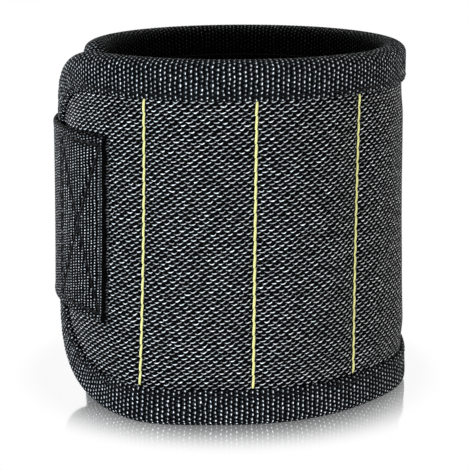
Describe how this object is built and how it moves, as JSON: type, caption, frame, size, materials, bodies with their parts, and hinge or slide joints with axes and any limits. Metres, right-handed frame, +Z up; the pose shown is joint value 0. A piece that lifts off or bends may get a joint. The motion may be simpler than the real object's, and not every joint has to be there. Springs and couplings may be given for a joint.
{
  "type": "magnetic wristband",
  "caption": "Padded fabric wristband with magnets sewn into upright pockets, bound edges and a rounded end lapped over the other, closed by a hook-and-loop strap.",
  "frame": {"origin": "on the standing plane, under the middle of the closed band", "axes": "+Z up along the wrist opening, front face of the band towards -Y, lapped end and strap on -X"},
  "size_m": [0.0938, 0.0926, 0.09],
  "materials": {
    "ballistic_nylon": "coarse basket weave, faint sheen",
    "edge_tape": "ribbed woven tape",
    "mesh_lining": "spacer mesh over foam",
    "strap_webbing": "ribbed webbing",
    "loop_pile": "napped loop pile",
    "hook_tape": "moulded hooks",
    "seam_thread": "pale yellow thread",
    "magnet": "nickel plate"
  },
  "bodies": {
    "pocket_2": {"pocket_2_shell": "ballistic_nylon", "pocket_2_lining": "mesh_lining", "pocket_2_binding_top": "edge_tape", "pocket_2_binding_bottom": "edge_tape", "magnet_2_1": "magnet", "magnet_2_2": "magnet", "magnet_2_3": "magnet", "seam_thread_2": "seam_thread", "seam_thread_3": "seam_thread"},
    "pocket_1": {"pocket_1_shell": "ballistic_nylon", "pocket_1_lining": "mesh_lining", "pocket_1_binding_top": "edge_tape", "pocket_1_binding_bottom": "edge_tape", "magnet_1_1": "magnet", "magnet_1_2": "magnet", "magnet_1_3": "magnet", "seam_thread_1": "seam_thread"},
    "pocket_3": {"pocket_3_shell": "ballistic_nylon", "pocket_3_lining": "mesh_lining", "pocket_3_binding_top": "edge_tape", "pocket_3_binding_bottom": "edge_tape", "magnet_3_1": "magnet", "magnet_3_2": "magnet", "magnet_3_3": "magnet", "seam_thread_4": "seam_thread"},
    "pocket_4": {"pocket_4_shell": "ballistic_nylon", "pocket_4_lining": "mesh_lining", "pocket_4_binding_top": "edge_tape", "pocket_4_binding_bottom": "edge_tape", "magnet_4_1": "magnet", "magnet_4_2": "magnet", "magnet_4_3": "magnet", "seam_thread_5": "seam_thread"},
    "pocket_5": {"pocket_5_shell": "ballistic_nylon", "pocket_5_lining": "mesh_lining", "pocket_5_binding_top": "edge_tape", "pocket_5_binding_bottom": "edge_tape", "magnet_5_1": "magnet", "magnet_5_2": "magnet", "magnet_5_3": "magnet", "seam_thread_6": "seam_thread"},
    "outer_end": {"outer_end_shell": "ballistic_nylon", "outer_end_lining": "mesh_lining", "outer_end_binding": "edge_tape", "strap_anchor": "strap_webbing"},
    "tail": {"tail_shell": "ballistic_nylon", "tail_lining": "mesh_lining", "tail_binding_top": "edge_tape", "tail_binding_bottom": "edge_tape", "tail_loop": "loop_pile"},
    "inner_end": {"inner_end_shell": "ballistic_nylon", "inner_end_lining": "mesh_lining", "inner_end_binding": "edge_tape", "inner_end_loop": "loop_pile"},
    "strap": {"strap_bridge": "strap_webbing"},
    "strap_tip": {"strap_tip": "strap_webbing", "strap_hook": "hook_tape"}
  },
  "joints": [
    {"name": "band_open", "type": "hinge", "parent": "pocket_2", "child": "pocket_3", "pos_m": [0.03197, -0.03404, 0.045], "axis": [0, 0, -1], "range_deg": [0, 39.4]},
    {"name": "seam_2_bend", "type": "hinge", "parent": "pocket_2", "child": "pocket_1", "pos_m": [0.00649, -0.04589, 0.045], "axis": [0, 0, 1], "range_deg": [0, 35.35]},
    {"name": "seam_1_bend", "type": "hinge", "parent": "pocket_1", "child": "outer_end", "pos_m": [-0.02116, -0.04084, 0.045], "axis": [0, 0, 1], "range_deg": [0, 48.2]},
    {"name": "strap_bend", "type": "hinge", "parent": "outer_end", "child": "strap", "pos_m": [-0.04695, 0.0005, 0.047], "axis": [0, 0, 1], "range_deg": [0, 50.3]},
    {"name": "strap_tip_peel", "type": "hinge", "parent": "strap", "child": "strap_tip", "pos_m": [-0.03247, 0.02783, 0.047], "axis": [0, 0, 1], "range_deg": [0, 90]},
    {"name": "seam_4_bend", "type": "hinge", "parent": "pocket_3", "child": "pocket_4", "pos_m": [0.04684, -0.00307, 0.045], "axis": [0, 0, -1], "range_deg": [0, 39.45]},
    {"name": "seam_5_bend", "type": "hinge", "parent": "pocket_4", "child": "pocket_5", "pos_m": [0.04016, 0.02423, 0.045], "axis": [0, 0, -1], "range_deg": [0, 35.35]},
    {"name": "seam_6_bend", "type": "hinge", "parent": "pocket_5", "child": "tail", "pos_m": [0.01875, 0.04221, 0.045], "axis": [0, 0, -1], "range_deg": [0, 51.03]},
    {"name": "tail_bend", "type": "hinge", "parent": "tail", "child": "inner_end", "pos_m": [-0.02777, 0.03013, 0.045], "axis": [0, 0, -1], "range_deg": [0, 66.7]}
  ],
  "couplings": [
    {"joint": "seam_2_bend", "follows": "band_open", "ratio": 0.89594},
    {"joint": "seam_1_bend", "follows": "band_open", "ratio": 1.2221},
    {"joint": "strap_bend", "follows": "band_open", "ratio": 1.2754},
    {"joint": "seam_4_bend", "follows": "band_open", "ratio": 1},
    {"joint": "seam_5_bend", "follows": "band_open", "ratio": 0.89594},
    {"joint": "seam_6_bend", "follows": "band_open", "ratio": 1.2939},
    {"joint": "tail_bend", "follows": "band_open", "ratio": 1.6916}
  ]
}
